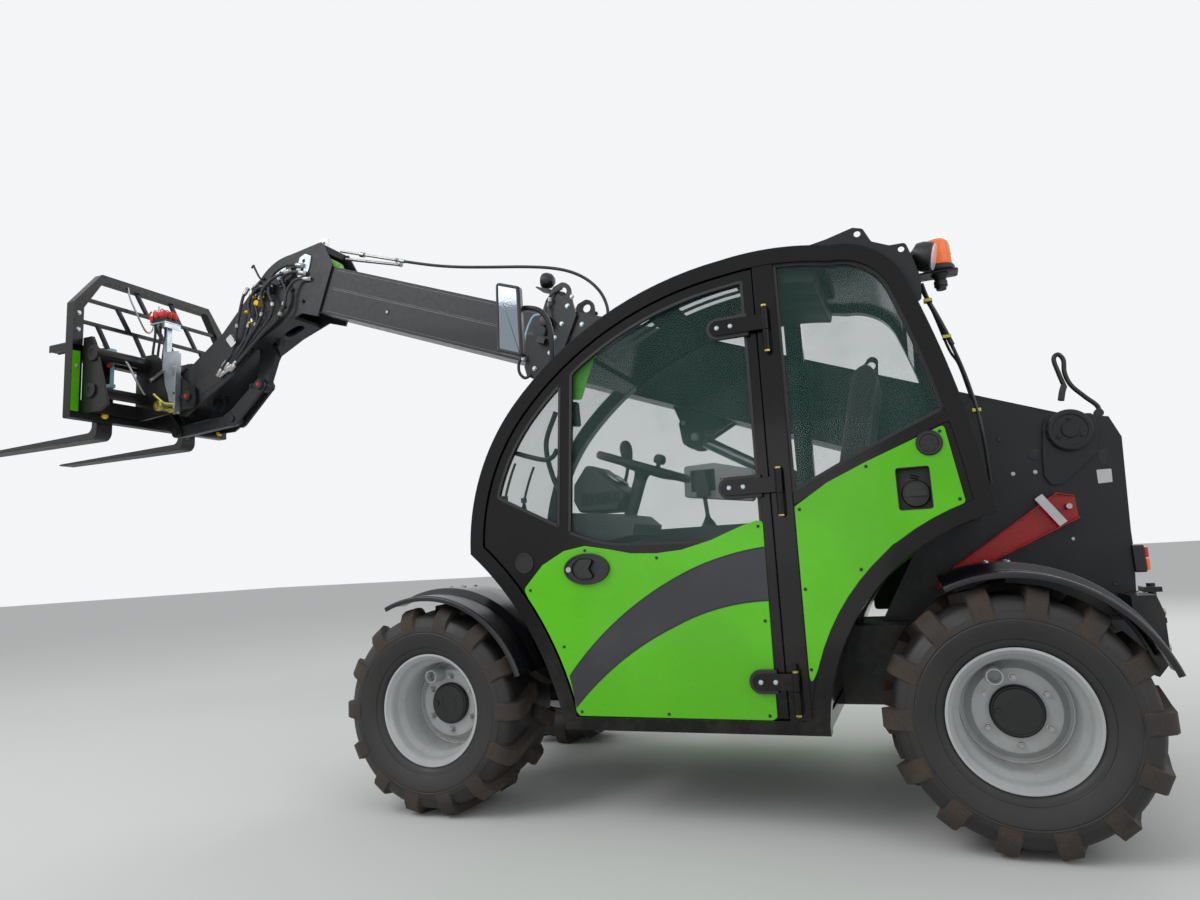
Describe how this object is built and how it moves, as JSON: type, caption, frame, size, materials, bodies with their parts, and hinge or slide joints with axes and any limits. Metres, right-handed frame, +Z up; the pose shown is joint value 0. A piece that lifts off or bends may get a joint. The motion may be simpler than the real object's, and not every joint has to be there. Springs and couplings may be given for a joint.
{
  "type": "telescopic handler",
  "caption": "Compact telescopic handler with a side cab, a cranked telescopic boom, a quick coupler with a fork carriage and all-wheel steering.",
  "frame": {"origin": "on the ground, on the machine's centre plane, half way between the axles", "axes": "+X forward to the fork tips, +Y to the cab side (left), +Z up"},
  "size_m": [6.4653, 1.597, 2.9012],
  "materials": {
    "green_paint": "gloss lime green paint",
    "black_paint": "gloss black paint",
    "boom_paint": "satin anthracite paint",
    "carriage_paint": "satin dark brown-black paint",
    "rim_silver": "satin silver paint",
    "red_paint": "gloss red paint",
    "zinc": "galvanised",
    "steel": "ground hard chrome",
    "cast": "painted casting",
    "tyre": "dusty rubber",
    "hose": "braided black hose",
    "glass": "tinted",
    "plastic": "textured black",
    "fender": "moulded gloss black",
    "seat": "black seat cloth",
    "amber": "amber lens"
  },
  "bodies": {
    "chassis": {"chassis_frame": "boom_paint", "boom_tower": "boom_paint", "rear_counterweight": "cast", "engine_hood": "green_paint", "engine_block": "cast", "front_axle": "cast", "rear_axle": "cast", "cab_frame": "black_paint", "cab_roof": "black_paint", "cab_floor": "black_paint", "cab_side_panel": "green_paint", "cab_inner_wall": "black_paint", "windscreen": "glass", "cab_windows": "glass", "dashboard": "plastic", "seat_base": "plastic", "seat": "seat", "beacon": "amber", "mirror": "plastic", "safety_strut": "red_paint"},
    "steering_wheel": {"steering_wheel": "plastic"},
    "door": {"door_frame": "black_paint", "door_panel": "green_paint", "door_glass": "glass", "door_handle": "plastic"},
    "boom_outer": {"boom_outer": "boom_paint", "boom_guides": "boom_paint"},
    "boom_inner": {"boom_inner": "boom_paint", "boom_head": "boom_paint", "head_pipe": "zinc", "boom_hose": "hose"},
    "fork_carriage": {"coupler": "boom_paint", "coupling_bracket": "zinc", "fork_frame": "carriage_paint", "forks": "carriage_paint"},
    "tilt_rocker": {"tilt_rocker": "boom_paint"},
    "tilt_link": {"tilt_link": "boom_paint"},
    "lift_barrel": {"lift_barrel": "boom_paint"},
    "lift_rod": {"lift_rod": "steel"},
    "knuckle_front_left": {"knuckle_front_left": "cast", "fender_front_left": "fender"},
    "wheel_front_left": {"tyre_front_left": "tyre", "rim_front_left": "rim_silver"},
    "knuckle_front_right": {"knuckle_front_right": "cast", "fender_front_right": "fender"},
    "wheel_front_right": {"tyre_front_right": "tyre", "rim_front_right": "rim_silver"},
    "knuckle_rear_left": {"knuckle_rear_left": "cast", "fender_rear_left": "fender"},
    "wheel_rear_left": {"tyre_rear_left": "tyre", "rim_rear_left": "rim_silver"},
    "knuckle_rear_right": {"knuckle_rear_right": "cast", "fender_rear_right": "fender"},
    "wheel_rear_right": {"tyre_rear_right": "tyre", "rim_rear_right": "rim_silver"}
  },
  "joints": [
    {"name": "door", "type": "hinge", "parent": "chassis", "child": "door", "pos_m": [-0.378, 0.762, 1.09], "axis": [0, 0, 1], "range_deg": [0, 85]},
    {"name": "steering_wheel_turn", "type": "hinge", "parent": "chassis", "child": "steering_wheel", "pos_m": [0.212, 0.4, 1.282], "axis": [-0.342, 0, 0.9397], "range_deg": [-540, 540]},
    {"name": "boom_lift", "type": "hinge", "parent": "chassis", "child": "boom_outer", "pos_m": [-1.355, -0.163, 1.305], "axis": [0, -1, 0], "range_deg": [-20.5, 34]},
    {"name": "boom_extend", "type": "slide", "parent": "boom_outer", "child": "boom_inner", "axis": [0.9367, 0, 0.3502], "range_m": [-1.17, 0.25]},
    {"name": "fork_tilt", "type": "hinge", "parent": "boom_inner", "child": "fork_carriage", "pos_m": [3.2, -0.163, 2.03], "axis": [0, -1, 0], "range_deg": [-70, 35]},
    {"name": "tilt_rocker_swing", "type": "hinge", "parent": "boom_inner", "child": "tilt_rocker", "pos_m": [2.745, -0.163, 2.06], "axis": [0, -1, 0], "range_deg": [-70, 35]},
    {"name": "tilt_link_swing", "type": "hinge", "parent": "tilt_rocker", "child": "tilt_link", "pos_m": [2.955, -0.163, 1.88], "axis": [0, -1, 0], "range_deg": [-35, 70]},
    {"name": "lift_barrel_swing", "type": "hinge", "parent": "chassis", "child": "lift_barrel", "pos_m": [-1.15, -0.163, 0.72], "axis": [0, -1, 0], "range_deg": [-18.04, 29.92]},
    {"name": "lift_rod_stroke", "type": "slide", "parent": "lift_barrel", "child": "lift_rod", "axis": [0.8653, 0, 0.5012], "range_m": [-0.208, 0.3447]},
    {"name": "steer_front_left", "type": "hinge", "parent": "chassis", "child": "knuckle_front_left", "pos_m": [1.017, 0.45, 0.39], "axis": [0, 0, 1], "range_deg": [-22, 22]},
    {"name": "spin_front_left", "type": "hinge", "parent": "knuckle_front_left", "child": "wheel_front_left", "pos_m": [1.017, 0.59, 0.39], "axis": [0, 1, 0], "continuous": true},
    {"name": "steer_front_right", "type": "hinge", "parent": "chassis", "child": "knuckle_front_right", "pos_m": [1.017, -0.45, 0.39], "axis": [0, 0, 1], "range_deg": [-22, 22]},
    {"name": "spin_front_right", "type": "hinge", "parent": "knuckle_front_right", "child": "wheel_front_right", "pos_m": [1.017, -0.59, 0.39], "axis": [0, 1, 0], "continuous": true},
    {"name": "steer_rear_left", "type": "hinge", "parent": "chassis", "child": "knuckle_rear_left", "pos_m": [-1.017, 0.45, 0.39], "axis": [0, 0, 1], "range_deg": [-22, 22]},
    {"name": "spin_rear_left", "type": "hinge", "parent": "knuckle_rear_left", "child": "wheel_rear_left", "pos_m": [-1.017, 0.59, 0.39], "axis": [0, 1, 0], "continuous": true},
    {"name": "steer_rear_right", "type": "hinge", "parent": "chassis", "child": "knuckle_rear_right", "pos_m": [-1.017, -0.45, 0.39], "axis": [0, 0, 1], "range_deg": [-22, 22]},
    {"name": "spin_rear_right", "type": "hinge", "parent": "knuckle_rear_right", "child": "wheel_rear_right", "pos_m": [-1.017, -0.59, 0.39], "axis": [0, 1, 0], "continuous": true}
  ],
  "couplings": [
    {"joint": "tilt_rocker_swing", "follows": "fork_tilt", "ratio": 1},
    {"joint": "tilt_link_swing", "follows": "fork_tilt", "ratio": -1},
    {"joint": "lift_barrel_swing", "follows": "boom_lift", "ratio": 0.88},
    {"joint": "lift_rod_stroke", "follows": "boom_lift", "m_per_rad": 0.58},
    {"joint": "steer_front_right", "follows": "steer_front_left", "ratio": 1},
    {"joint": "steer_rear_right", "follows": "steer_rear_left", "ratio": 1}
  ]
}
